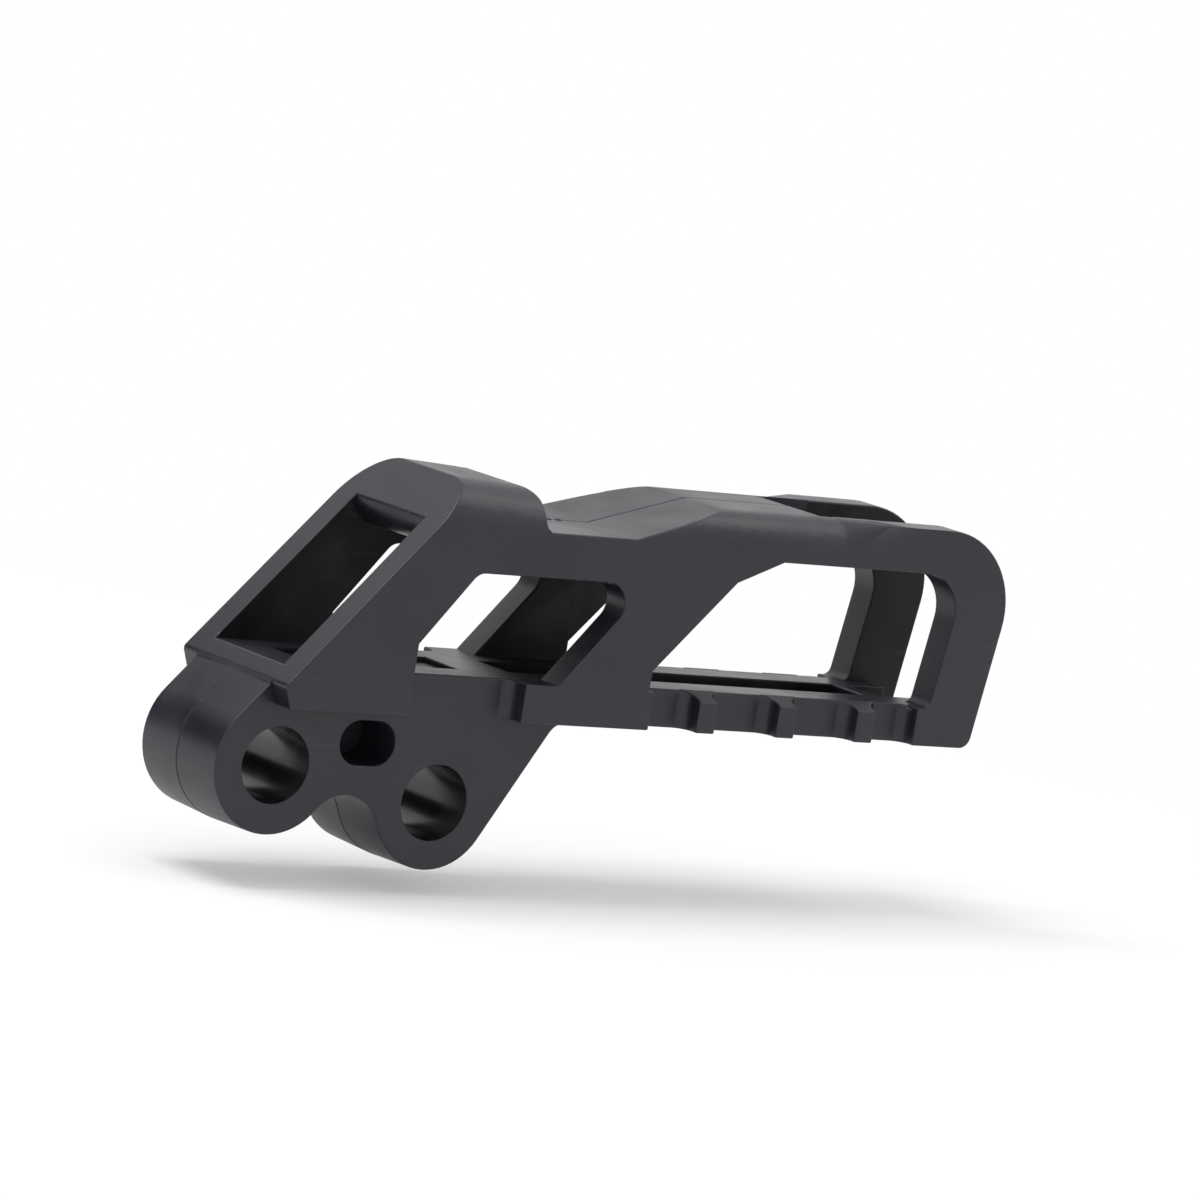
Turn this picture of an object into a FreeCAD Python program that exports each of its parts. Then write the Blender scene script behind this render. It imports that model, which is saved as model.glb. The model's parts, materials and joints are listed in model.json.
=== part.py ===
# Chain guide for the rear chain run of an off-road motorcycle, moulded in one piece.
# Millimetres. X runs along the rail to the rear, Z is up, Y is along the mounting bores.
# The origin is the centre of the front mounting bore, on the mould's parting plane.
# One half of the guide is modelled on the -Y side of that plane and then mirrored.
import FreeCAD, Part
import Sketcher
import math
import os
from FreeCAD import Placement, Rotation, Vector

SIZES = {
    # Lug block that carries the guide
    "bore_diameter": 14.0,
    "rear_bore_x": 35.0,
    "rear_bore_drop": 5.35,
    "lug_front_radius": 13.0,
    "lug_rear_radius": 12.75,
    "lug_half_width": 12.7,
    "lug_draft": 1.5,
    "notch_radius": 7.4,
    "flank_slope": 59.3,
    "flank_root_radius": 6.0,
    "root_overlap": 0.2,
    "core_x": 18.75,
    "core_z": 4.9,
    "core_width": 11.7,
    "core_height": 8.2,
    "core_web": 3.0,
    # Side walls and the sloping front frame
    "front_slope": 48.2,
    "front_half_width": 17.9,
    "side_taper": 0.65,
    "wall_bottom": 11.0,
    "frame_foot": 15.3,
    "frame_heel": 2.1,
    "frame_foot_radius": 1.2,
    # Tunnel that the chain runs through
    "tunnel_half_width": 11.8,
    "tunnel_taper": 0.8,
    "floor_top": 18.2,
    "mouth_top": 46.4,
    "nose_radius": 5.0,
    "ceiling": 41.0,
    "rear_ceiling": 47.0,
    "groove_half_width": 5.0,
    "groove_depth": 3.5,
    "groove_start": 52.0,
    "groove_end": 133.5,
    "rail_notch": 8.5,
    "rail_end": 146.0,
    "recess_start": 7.0,
    "recess_end": 40.5,
    "recess_half_width": 5.5,
    "recess_depth": 1.0,
    # Top deck
    "hump_top": 53.9,
    "hump_rear_top": 53.1,
    "deck_top": 52.2,
    "hump_end": 47.3,
    "valley_top": 46.1,
    "ramp_foot": 67.4,
    "ramp_head": 88.6,
    "deck_end": 112.5,
    "hump_front_round": 8.0,
    "hump_rear_round": 10.0,
    "hump_end_round": 2.5,
    "valley_root_radius": 1.5,
    "deck_round": 6.6,
    "round_end": 115.5,
    "round_fade": 9.0,
    "edge_round": 0.02,
    # Loop at the rear end
    "loop_start": 138.1,
    "loop_end": 151.6,
    "loop_lean": 8.2,
    "loop_radius": 15.5,
    "loop_heel_radius": 2.5,
    # Side windows, with a leaning strut between them
    "window_slope": 51.8,
    "strut_front_slope": 49.9,
    "strut_rear_slope": 47.4,
    "mid_left": 23.1,
    "mid_knee": 24.3,
    "mid_top": 37.8,
    "mid_right": 55.0,
    "mid_front_radius": 3.1,
    "mid_rear_radius": 4.2,
    "rear_left": 75.4,
    "rear_low_knee": 22.0,
    "rear_knee": 39.4,
    "rear_top_start": 101.4,
    "rear_top": 43.8,
    "rear_right": 140.7,
    "rear_lean": 8.4,
    "rear_radius": 7.9,
    "rear_foot_radius": 1.8,
    # Ribs left standing between the scallops along the rail
    "scallop_end": 47.8,
    "plate_end": 76.4,
    "first_rib": 87.3,
    "rib_pitch": 18.45,
    "rib_width": 4.2,
    "rib_top_slope": 19.0,
    "scallop_root_radius": 2.5,
}
RIB_COUNT = 3
# How far a cut reaches past the face that it opens, and the least volume that a cut has to take away
OVERLAP = 1.0
# How far an open-sided cut reaches outside the guide
CLEAR = 20.0
# Turn, in steps, of the ring that an outline is drawn on before its corners are held
RING_TURN = 0.3

doc = FreeCAD.newDocument("chain_guide")

sheet = doc.addObject("Spreadsheet::Sheet", "dims")
for row, (alias, value) in enumerate(SIZES.items(), start=1):
    sheet.set(f"A{row}", alias)
    sheet.set(f"B{row}", str(value))
    sheet.setAlias(f"B{row}", alias)
doc.recompute()

body = doc.addObject("PartDesign::Body", "chain_guide")
body.Label = "chain_guide"


def dim(text):
    """An expression on the sheet, with each size written as $name."""
    return text.replace("$", "dims.")


def origin_plane(role):
    for feature in body.Origin.OriginFeatures:
        if feature.Role == role:
            return feature
    raise ValueError(role)


def attach(feature, role, offset=None):
    """Places a sketch or datum on an origin plane, moved along the plane's normal."""
    feature.AttachmentSupport = [(origin_plane(role), "")]
    feature.MapMode = "FlatFace"
    if offset is not None:
        feature.setExpression("AttachmentOffset.Base.z", dim(offset))
    return feature


def new_sketch(name, role, offset=None):
    return attach(body.newObject("Sketcher::SketchObject", name), role, offset)


def hold_point(sketch, geometry, end, name, across, up):
    """Ties one point of a sketch to the sheet by its two coordinates."""
    point = sketch.getPoint(geometry, end)
    for axis, text, value in (("X", across, point.x), ("Y", up, point.y)):
        held = Sketcher.Constraint("Distance" + axis, -1, 1, geometry, end, value)
        rename(sketch, sketch.addConstraint(held), name + axis, text)


def polygon(sketch, points):
    """Closed outline of straight lines, each corner held by two expressions."""
    first = sketch.GeometryCount
    count = len(points)
    turns = [2 * math.pi * (i + RING_TURN) / count for i in range(count)]
    ring = [Vector(math.cos(turn), math.sin(turn), 0) * CLEAR for turn in turns]
    for i in range(count):
        sketch.addGeometry(Part.LineSegment(ring[i], ring[(i + 1) % count]))
    for i in range(count):
        join(sketch, "Coincident", first + i, 2, first + (i + 1) % count, 1)
    for i, (across, up) in enumerate(points):
        hold_point(sketch, first + i, 1, f"p{first + i}", across, up)
    return sketch


def finish(feature):
    doc.recompute()
    for item in doc.Objects:
        if "Invalid" in item.State or "Error" in item.State:
            raise RuntimeError(f"{item.Name}: {item.State}")
    return feature


def pad_to(name, sketch, face):
    pad = body.newObject("PartDesign::Pad", name)
    pad.Profile = sketch
    pad.Type = "UpToFace"
    pad.UpToFace = (face, [""])
    return finish(pad)


def pocket(name, sketch, depth=None, face=None, reverse=False):
    """A cut away from the sketch: up to a face, to a depth, or through everything."""
    volume_before = body.Tip.Shape.Volume
    cut = body.newObject("PartDesign::Pocket", name)
    cut.Profile = sketch
    cut.Reversed = reverse
    if face is not None:
        cut.Type = "UpToFace"
        cut.UpToFace = (face, [""])
    elif depth is not None:
        cut.setExpression("Length", dim(depth))
    else:
        cut.Type = "ThroughAll"
    finish(cut)
    if cut.Shape.Volume > volume_before - OVERLAP:
        raise RuntimeError(f"{name} takes nothing away")
    return cut


def edge_names(base, keep):
    return [f"Edge{i}" for i, edge in enumerate(base.Shape.Edges, start=1) if keep(edge)]


def runs_across(edge, x, z, slack=0.05):
    """True for an edge along Y through the given place of the side view."""
    ends = [vertex.Point for vertex in edge.Vertexes]
    if len(ends) != 2:
        return False
    return all(abs(p.x - x) < slack and abs(p.z - z) < slack for p in ends)


def fillet(name, base, radius, corners):
    """Rounds the edges along Y that pass through the given corners of the side view."""
    names = edge_names(base, lambda edge: any(runs_across(edge, x, z) for x, z in corners))
    if len(names) < len(corners):
        raise RuntimeError(f"{name}: {len(names)} of {len(corners)} edges found")
    rounding = body.newObject("PartDesign::Fillet", name)
    rounding.Base = (base, names)
    rounding.setExpression("Radius", dim(radius))
    return finish(rounding)


def tan_deg(angle):
    return math.tan(math.radians(angle))


size = type("Size", (), SIZES)

# The front frame's face is tangent to the front lug, so its place follows from the lug and the slope.
FRONT_X = "(($z) - $lug_front_radius / cos($front_slope * 1deg)) / tan($front_slope * 1deg)"


def front_x(height):
    return FRONT_X.replace("$z", height)


def front_x_value(z):
    slope = math.radians(size.front_slope)
    return (z - size.lug_front_radius / math.cos(slope)) / math.tan(slope)


def leaning(foot, lean, height):
    """X, at a height above the wall's lower edge, of an edge that leans to the rear."""
    return f"{foot} + ({height}) * tan({lean} * 1deg)"


def rename(sketch, index, name, text):
    sketch.renameConstraint(index, name)
    sketch.setExpression("Constraints." + name, dim(text))


def hold_radius(sketch, geometry, name, text, value):
    rename(sketch, sketch.addConstraint(Sketcher.Constraint("Radius", geometry, value)), name, text)


def join(sketch, kind, *ends):
    sketch.addConstraint(Sketcher.Constraint(kind, *ends))


def arc(centre, radius, start, end):
    return Part.ArcOfCircle(Part.Circle(centre, Vector(0, 0, 1), radius), start, end)


def corner_section(sketch, side, top, radius):
    """Cross-section of what a rounded top edge takes away, seen along X."""
    centre = Vector(-size.tunnel_half_width, size.ceiling, 0)
    span = size.deck_round
    left = centre + Vector(-span, 0, 0)
    upper = centre + Vector(0, span, 0)
    outside = left + Vector(-span, 0, 0)
    above = upper + Vector(0, span, 0)
    far = Vector(outside.x, above.y, 0)
    sketch.addGeometry(arc(centre, span, math.pi / 2, math.pi))
    for start, end in ((left, outside), (outside, far), (far, above), (above, upper)):
        sketch.addGeometry(Part.LineSegment(start, end))
    join(sketch, "Coincident", 0, 2, 1, 1)
    for line in (1, 2, 3):
        join(sketch, "Coincident", line, 2, line + 1, 1)
    join(sketch, "Coincident", 4, 2, 0, 1)
    join(sketch, "Horizontal", 0, 3, 0, 2)
    join(sketch, "Vertical", 0, 3, 0, 1)
    hold_radius(sketch, 0, "round", radius, span)
    hold_point(sketch, 0, 3, "centre", f"{side} + {radius}", f"{top} - {radius}")
    hold_point(sketch, 2, 1, "outside", f"{side} - {CLEAR}", f"{top} - {radius}")
    hold_point(sketch, 3, 1, "far", f"{side} - {CLEAR}", f"{top} + {CLEAR}")
    hold_point(sketch, 4, 1, "above", f"{side} + {radius}", f"{top} + {CLEAR}")


def scallop(sketch, start, end):
    """Plan of one scallop: open outwards, with round corners at its root."""
    first = sketch.GeometryCount
    tag = f"s{first}"
    root = -size.lug_half_width
    radius = size.scallop_root_radius
    open_y = root - CLEAR
    a, b = start[1], end[1]
    sketch.addGeometry(Part.LineSegment(Vector(a, open_y, 0), Vector(a, root - radius, 0)))
    sketch.addGeometry(arc(Vector(a + radius, root - radius, 0), radius, math.pi / 2, math.pi))
    sketch.addGeometry(Part.LineSegment(Vector(a + radius, root, 0), Vector(b - radius, root, 0)))
    sketch.addGeometry(arc(Vector(b - radius, root - radius, 0), radius, 0, math.pi / 2))
    sketch.addGeometry(Part.LineSegment(Vector(b, root - radius, 0), Vector(b, open_y, 0)))
    sketch.addGeometry(Part.LineSegment(Vector(b, open_y, 0), Vector(a, open_y, 0)))
    join(sketch, "Tangent", first, 2, first + 1, 2)
    join(sketch, "Tangent", first + 1, 1, first + 2, 1)
    join(sketch, "Tangent", first + 2, 2, first + 3, 2)
    join(sketch, "Tangent", first + 3, 1, first + 4, 1)
    join(sketch, "Coincident", first + 4, 2, first + 5, 1)
    join(sketch, "Coincident", first + 5, 2, first, 1)
    join(sketch, "Vertical", first)
    join(sketch, "Vertical", first + 4)
    join(sketch, "Horizontal", first + 2)
    hold_radius(sketch, first + 1, tag + "a", "$scallop_root_radius", radius)
    hold_radius(sketch, first + 3, tag + "b", "$scallop_root_radius", radius)
    hold_point(sketch, first, 1, tag + "start", start[0], f"-$lug_half_width - {CLEAR}")
    hold_point(sketch, first + 4, 2, tag + "end", end[0], f"-$lug_half_width - {CLEAR}")
    depth = sketch.addConstraint(Sketcher.Constraint("DistanceY", -1, 1, first + 2, 1, root))
    rename(sketch, depth, tag + "root", "-$lug_half_width")


def lug_outline(sketch):
    """Side outline of the lug block: every arc is tangent to its neighbours."""
    slope = math.radians(size.front_slope)
    flank = math.radians(size.flank_slope)
    r1, r2 = size.lug_front_radius, size.lug_rear_radius
    rn, rf = size.notch_radius, size.flank_root_radius
    rear = Vector(size.rear_bore_x, -size.rear_bore_drop, 0)
    top = size.wall_bottom + rn / 2

    # Centre of the notch, from its distances to the two bores
    span = rear.Length
    along = ((r1 + rn) ** 2 - (r2 + rn) ** 2 + span ** 2) / (2 * span)
    below = math.sqrt((r1 + rn) ** 2 - along ** 2)
    unit = rear / span
    notch = unit * along + Vector(unit.y, -unit.x, 0) * below

    front_touch = Vector(-math.sin(slope), math.cos(slope), 0) * r1
    climb = (top - front_touch.y) / math.sin(slope)
    front_top = front_touch + Vector(math.cos(slope), math.sin(slope), 0) * climb
    out = Vector(math.sin(flank), -math.cos(flank), 0)
    rear_touch = rear + out * r2
    root_z = size.wall_bottom + size.root_overlap - rf
    flank_top_z = root_z + rf * math.cos(flank)
    run = (flank_top_z - rear_touch.y) / math.sin(flank)
    flank_top = rear_touch + Vector(math.cos(flank), math.sin(flank), 0) * run
    root = flank_top + out * rf
    root_top = root + Vector(0, rf, 0)

    to_front = math.atan2(-notch.y, -notch.x)
    to_rear = math.atan2(rear.y - notch.y, rear.x - notch.x)
    sketch.addGeometry(Part.LineSegment(front_top, front_touch))
    sketch.addGeometry(arc(Vector(), r1, slope + math.pi / 2, to_front + math.pi))
    sketch.addGeometry(arc(notch, rn, to_rear, to_front))
    sketch.addGeometry(arc(rear, r2, to_rear + math.pi, flank + 1.5 * math.pi))
    sketch.addGeometry(Part.LineSegment(rear_touch, flank_top))
    sketch.addGeometry(arc(root, rf, math.pi / 2, flank + math.pi / 2))
    sketch.addGeometry(Part.LineSegment(root_top, Vector(root_top.x, top, 0)))
    sketch.addGeometry(Part.LineSegment(Vector(root_top.x, top, 0), front_top))

    join(sketch, "Tangent", 0, 2, 1, 1)
    join(sketch, "Tangent", 1, 2, 2, 2)
    join(sketch, "Tangent", 2, 1, 3, 1)
    join(sketch, "Tangent", 3, 2, 4, 1)
    join(sketch, "Tangent", 4, 2, 5, 2)
    join(sketch, "Coincident", 5, 1, 6, 1)
    join(sketch, "Coincident", 6, 2, 7, 1)
    join(sketch, "Coincident", 7, 2, 0, 1)
    join(sketch, "Coincident", 1, 3, -1, 1)
    join(sketch, "Vertical", 6)
    join(sketch, "Horizontal", 7)
    join(sketch, "Vertical", 5, 3, 5, 1)
    hold_radius(sketch, 1, "frontLug", "$lug_front_radius", r1)
    hold_radius(sketch, 2, "notch", "$notch_radius", rn)
    hold_radius(sketch, 3, "rearLug", "$lug_rear_radius", r2)
    hold_radius(sketch, 5, "flankRoot", "$flank_root_radius", rf)
    hold_point(sketch, 3, 3, "rearBore", "$rear_bore_x", "-$rear_bore_drop")
    lean = sketch.addConstraint(Sketcher.Constraint("Angle", -1, 1, 0, 2, slope))
    rename(sketch, lean, "frontSlope", "$front_slope * 1deg")
    lean = sketch.addConstraint(Sketcher.Constraint("Angle", -1, 1, 4, 1, flank))
    rename(sketch, lean, "flankSlope", "$flank_slope * 1deg")
    height = sketch.addConstraint(Sketcher.Constraint("DistanceY", -1, 1, 5, 1, root_top.y))
    rename(sketch, height, "rootTop", "$wall_bottom + $root_overlap")
    height = sketch.addConstraint(Sketcher.Constraint("DistanceY", -1, 1, 7, 1, top))
    rename(sketch, height, "lugTop", "$wall_bottom + $notch_radius / 2")
    return sketch


def valley_outline(sketch, ramp_end):
    """What is cut away behind the hump: a rounded drop, a flat valley and a rising ramp."""
    crest, root = size.hump_end_round, size.valley_root_radius
    x, top, low = size.hump_end, size.hump_rear_top, size.valley_top
    above = size.hump_top + crest
    rise = (above - low) * (size.ramp_head - size.ramp_foot) / (size.deck_top - low)
    corners = [
        Vector(x - crest, above, 0),
        Vector(x - crest, top, 0),
        Vector(x, top - crest, 0),
        Vector(x, low + root, 0),
        Vector(x + root, low, 0),
        Vector(size.ramp_foot, low, 0),
        Vector(size.ramp_foot + rise, above, 0),
    ]
    sketch.addGeometry(Part.LineSegment(corners[0], corners[1]))
    sketch.addGeometry(arc(Vector(x - crest, top - crest, 0), crest, 0, math.pi / 2))
    sketch.addGeometry(Part.LineSegment(corners[2], corners[3]))
    sketch.addGeometry(arc(Vector(x + root, low + root, 0), root, math.pi, 1.5 * math.pi))
    sketch.addGeometry(Part.LineSegment(corners[4], corners[5]))
    sketch.addGeometry(Part.LineSegment(corners[5], corners[6]))
    sketch.addGeometry(Part.LineSegment(corners[6], corners[0]))
    join(sketch, "Coincident", 0, 2, 1, 2)
    join(sketch, "Tangent", 1, 1, 2, 1)
    join(sketch, "Tangent", 2, 2, 3, 1)
    join(sketch, "Tangent", 3, 2, 4, 1)
    for line in (4, 5):
        join(sketch, "Coincident", line, 2, line + 1, 1)
    join(sketch, "Coincident", 6, 2, 0, 1)
    join(sketch, "Vertical", 2)
    join(sketch, "Horizontal", 4)
    hold_radius(sketch, 1, "crest", "$hump_end_round", crest)
    hold_radius(sketch, 3, "root", "$valley_root_radius", root)
    hold_point(sketch, 0, 1, "above", "$hump_end - $hump_end_round", "$hump_top + $hump_end_round")
    hold_point(sketch, 1, 2, "crestTop", "$hump_end - $hump_end_round", "$hump_rear_top")
    drop = sketch.addConstraint(Sketcher.Constraint("DistanceX", -1, 1, 2, 1, x))
    rename(sketch, drop, "drop", "$hump_end")
    hold_point(sketch, 5, 1, "rampFoot", "$ramp_foot", "$valley_top")
    hold_point(sketch, 6, 1, "rampEnd", ramp_end, "$hump_top + $hump_end_round")
    return sketch


def core_slot(sketch):
    """Oblong with round ends for the blind pocket between the lugs."""
    half = size.core_height / 2
    reach = size.core_width / 2 - half
    left = Vector(size.core_x - reach, size.core_z, 0)
    right = Vector(size.core_x + reach, size.core_z, 0)
    rise = Vector(0, half, 0)
    sketch.addGeometry(arc(left, half, math.pi / 2, 1.5 * math.pi))
    sketch.addGeometry(Part.LineSegment(left - rise, right - rise))
    sketch.addGeometry(arc(right, half, -math.pi / 2, math.pi / 2))
    sketch.addGeometry(Part.LineSegment(right + rise, left + rise))
    join(sketch, "Tangent", 0, 2, 1, 1)
    join(sketch, "Tangent", 1, 2, 2, 1)
    join(sketch, "Tangent", 2, 2, 3, 1)
    join(sketch, "Tangent", 3, 2, 0, 1)
    hold_radius(sketch, 0, "end", "$core_height / 2", half)
    hold_point(sketch, 0, 3, "left", "$core_x - ($core_width - $core_height) / 2", "$core_z")
    hold_point(sketch, 2, 3, "right", "$core_x + ($core_width - $core_height) / 2", "$core_z")
    return sketch


# Side planes: the walls and the tunnel draw in slightly towards the rear.
outer_plane = attach(body.newObject("PartDesign::Plane", "outer_plane"), "XZ_Plane")
inner_plane = attach(body.newObject("PartDesign::Plane", "inner_plane"), "XZ_Plane")
for datum, distance, taper in (
        (outer_plane, "$front_half_width", "$side_taper"),
        (inner_plane, "$tunnel_half_width", "$tunnel_taper")):
    datum.AttachmentOffset = Placement(Vector(0, 0, CLEAR), Rotation(Vector(0, 1, 0), 1))
    datum.setExpression("AttachmentOffset.Base.z", dim(distance))
    datum.setExpression("AttachmentOffset.Rotation.Angle", dim(taper + " * 1deg"))
doc.recompute()

# Block of the side outline, before anything is cut out of it
loop_top_x = leaning("$loop_end", "$loop_lean", "$deck_top - $wall_bottom")
loop_top_value = size.loop_end + (size.deck_top - size.wall_bottom) * tan_deg(size.loop_lean)
outline = polygon(new_sketch("side_outline", "XZ_Plane"), [
    ("-$frame_heel", "$wall_bottom"),
    ("$loop_end", "$wall_bottom"),
    (loop_top_x, "$deck_top"),
    ("$ramp_head", "$deck_top"),
    ("$hump_end", "$hump_rear_top"),
    (front_x("$hump_top"), "$hump_top"),
    (front_x("$frame_foot"), "$frame_foot"),
])
block = pad_to("block", outline, outer_plane)
crown = fillet("loop_crown", block, "$loop_radius", [(loop_top_value, size.deck_top)])
heel = fillet("loop_heel", crown, "$loop_heel_radius", [(size.loop_end, size.wall_bottom)])
foot_corner = (front_x_value(size.frame_foot), size.frame_foot)
fillet("frame_foot_round", heel, "$frame_foot_radius", [foot_corner])

# Rounding of the long top edge: wide on the hump, narrower on the deck, running out before the loop
hump_slope = f"($hump_top - $hump_rear_top) / ($hump_end - ({front_x('$hump_top')}))"
round_stations = [
    ("0", f"$hump_rear_top + $hump_end * {hump_slope}", "$hump_front_round"),
    ("$hump_end", "$hump_rear_top", "$hump_rear_round"),
    ("$ramp_head", "$deck_top", "$deck_round"),
    ("$round_end", "$deck_top", "$deck_round"),
    ("$round_end + $round_fade", "$deck_top", "$edge_round"),
]
round_sketches = []
for number, (station, top, radius) in enumerate(round_stations):
    sketch = new_sketch(f"round_{number}", "YZ_Plane", station)
    side = f"-($front_half_width - ({station}) * tan($side_taper * 1deg))"
    corner_section(sketch, side, top, radius)
    round_sketches.append(sketch)
doc.recompute()
rounding = body.newObject("PartDesign::SubtractiveLoft", "top_rounding")
rounding.Profile = round_sketches[0]
rounding.Sections = round_sketches[1:]
rounding.Ruled = True
finish(rounding)

# Valley behind the hump and the ramp up to the deck, cut straight across
ramp_rise = "($hump_top + $hump_end_round - $valley_top)"
ramp_run = "($ramp_head - $ramp_foot) / ($deck_top - $valley_top)"
ramp_end = f"$ramp_foot + {ramp_rise} * {ramp_run}"
valley = valley_outline(new_sketch("valley_outline", "XZ_Plane"), ramp_end)
pocket("valley", valley, reverse=True)

# Tunnel: open at the sloping mouth, under the deck, and open above between the loop's two plates
tunnel = polygon(new_sketch("tunnel_outline", "XZ_Plane"), [
    (f"-{CLEAR}", "$floor_top"),
    ("$rail_end", "$floor_top"),
    ("$rail_end", f"$wall_bottom - {OVERLAP}"),
    (f"$loop_end + {CLEAR}", f"$wall_bottom - {OVERLAP}"),
    (f"$loop_end + {CLEAR}", f"$deck_top + {CLEAR}"),
    ("$deck_end", f"$deck_top + {CLEAR}"),
    ("$deck_end", "$rear_ceiling"),
    ("$ramp_head", "$rear_ceiling"),
    ("$ramp_foot", "$ceiling"),
    (front_x("$mouth_top"), "$ceiling"),
    (front_x("$mouth_top"), "$mouth_top"),
    (f"-{CLEAR}", "$mouth_top"),
])
tunnel_cut = pocket("tunnel", tunnel, face=inner_plane, reverse=True)
fillet("mouth_nose", tunnel_cut, "$nose_radius", [(front_x_value(size.mouth_top), size.ceiling)])

# Side windows: both have sills level with the tunnel's floor
mid_far_top = "$mid_right + ($mid_top - $floor_top) / tan($strut_front_slope * 1deg)"
mid_near_top = "$mid_left + ($mid_top - $mid_knee) / tan($window_slope * 1deg)"
mid = polygon(new_sketch("mid_window_outline", "XZ_Plane"), [
    ("$mid_left", "$floor_top"),
    ("$mid_right", "$floor_top"),
    (mid_far_top, "$mid_top"),
    (mid_near_top, "$mid_top"),
    ("$mid_left", "$mid_knee"),
])
mid_cut = pocket("mid_window", mid, reverse=True)
mid_front_value = size.mid_left + (size.mid_top - size.mid_knee) / tan_deg(size.window_slope)
mid_rear_value = size.mid_right + (size.mid_top - size.floor_top) / tan_deg(size.strut_front_slope)
mid_round = fillet("mid_window_corner", mid_cut, "$mid_front_radius", [(mid_front_value, size.mid_top)])
fillet("mid_window_rear_corner", mid_round, "$mid_rear_radius", [(mid_rear_value, size.mid_top)])

rear_far_top = leaning("$rear_right", "$rear_lean", "$rear_top - $floor_top")
rear = polygon(new_sketch("rear_window_outline", "XZ_Plane"), [
    ("$rear_left", "$floor_top"),
    ("$rear_right", "$floor_top"),
    (rear_far_top, "$rear_top"),
    ("$rear_top_start", "$rear_top"),
    ("$rear_left + ($rear_knee - $rear_low_knee) / tan($strut_rear_slope * 1deg)", "$rear_knee"),
    ("$rear_left", "$rear_low_knee"),
])
rear_cut = pocket("rear_window", rear, reverse=True)
rear_far_value = size.rear_right + (size.rear_top - size.floor_top) * tan_deg(size.rear_lean)
rear_round = fillet("rear_window_corner", rear_cut, "$rear_radius", [(rear_far_value, size.rear_top)])
fillet("rear_window_foot", rear_round, "$rear_foot_radius", [(size.rear_right, size.floor_top)])

# Scallops along the rail's side, with round roots, that leave the ribs standing
rib_starts = [f"$first_rib + {i} * $rib_pitch" for i in range(RIB_COUNT)]
rib_ends = [f"{start} + $rib_width" for start in rib_starts]
rib_values = [size.first_rib + i * size.rib_pitch for i in range(RIB_COUNT)]
scallop_starts = [("$mid_left", size.mid_left), ("$plate_end", size.plate_end)]
scallop_starts += [(end, value + size.rib_width) for end, value in zip(rib_ends, rib_values)]
scallop_ends = [("$scallop_end", size.scallop_end)]
scallop_ends += list(zip(rib_starts, rib_values))
scallop_ends.append(("$loop_start", size.loop_start))
scallops = new_sketch("scallop_outlines", "XY_Plane", "$floor_top")
for start, end in zip(scallop_starts, scallop_ends):
    scallop(scallops, start, end)
pocket("scallops", scallops)

slope_reach = "$lug_half_width"
rib_slope = polygon(new_sketch("rib_slope_section", "YZ_Plane", "$plate_end"), [
    ("-$lug_half_width", "$floor_top"),
    (f"-$lug_half_width - {slope_reach}", "$floor_top"),
    (f"-$lug_half_width - {slope_reach}", f"$floor_top - {slope_reach} * tan($rib_top_slope * 1deg)"),
])
pocket("rib_slope", rib_slope, depth="$loop_start - $plate_end", reverse=True)

# Groove along the middle of the rail, a notch of the same depth at the rail's end,
# and a shallow recess in the floor above the lugs
rail_groove = ("$groove_start", "$groove_end")
end_notch = ("$rail_end - $rail_notch", f"$rail_end + {OVERLAP}")
floor_recess = ("$recess_start", "$recess_end")
for name, runs, half_width, depth in (
        ("groove", (rail_groove, end_notch), "$groove_half_width", "$groove_depth"),
        ("recess", (floor_recess,), "$recess_half_width", "$recess_depth")):
    trough = new_sketch(name + "_outline", "XY_Plane", "$floor_top")
    for start, end in runs:
        polygon(trough, [
            (start, f"{OVERLAP}"),
            (start, f"-{half_width}"),
            (end, f"-{half_width}"),
            (end, f"{OVERLAP}"),
        ])
    pocket(name, trough, depth=depth)

# Lug block: two round lugs with a round notch between them, drafted away from the parting plane
lugs = lug_outline(new_sketch("lug_outline", "XZ_Plane"))
lug_block = body.newObject("PartDesign::Pad", "lug_block")
lug_block.Profile = lugs
lug_block.setExpression("Length", dim("$lug_half_width"))
lug_block.setExpression("TaperAngle", dim("-$lug_draft"))
finish(lug_block)

bores = new_sketch("bore_circles", "XZ_Plane")
for name, across, up in (("front", 0.0, 0.0), ("rear", size.rear_bore_x, -size.rear_bore_drop)):
    circle = Part.Circle(Vector(across, up, 0), Vector(0, 0, 1), size.bore_diameter / 2)
    index = bores.addGeometry(circle)
    diameter = bores.addConstraint(Sketcher.Constraint("Diameter", index, size.bore_diameter))
    rename(bores, diameter, name + "Bore", "$bore_diameter")
join(bores, "Coincident", 0, 3, -1, 1)
hold_point(bores, 1, 3, "rearBore", "$rear_bore_x", "-$rear_bore_drop")
pocket("bores", bores, reverse=True)

core = core_slot(new_sketch("core_outline", "XZ_Plane", "$core_web / 2"))
pocket("core", core, reverse=True)

# The other half is the mirror image of this one.
half = body.Tip
whole = body.newObject("PartDesign::Mirrored", "whole")
whole.TransformMode = "Whole shape"
whole.MirrorPlane = (origin_plane("XZ_Plane"), [""])
body.Tip = whole
finish(whole)

shape = body.Shape
if not shape.isValid() or len(shape.Solids) != 1:
    raise RuntimeError("the guide isn't one sound solid")
if abs(shape.Volume - 2 * half.Shape.Volume) > OVERLAP:
    raise RuntimeError("the two halves don't add up")
print("volume", round(shape.Volume), "box", shape.BoundBox)

os.makedirs("parts", exist_ok=True)
shape.exportStep("parts/chain_guide.step")
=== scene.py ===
import json
import math

import bmesh
import bpy
from mathutils import Matrix, Vector
from mathutils.bvhtree import BVHTree
from mathutils.geometry import intersect_point_line


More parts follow.
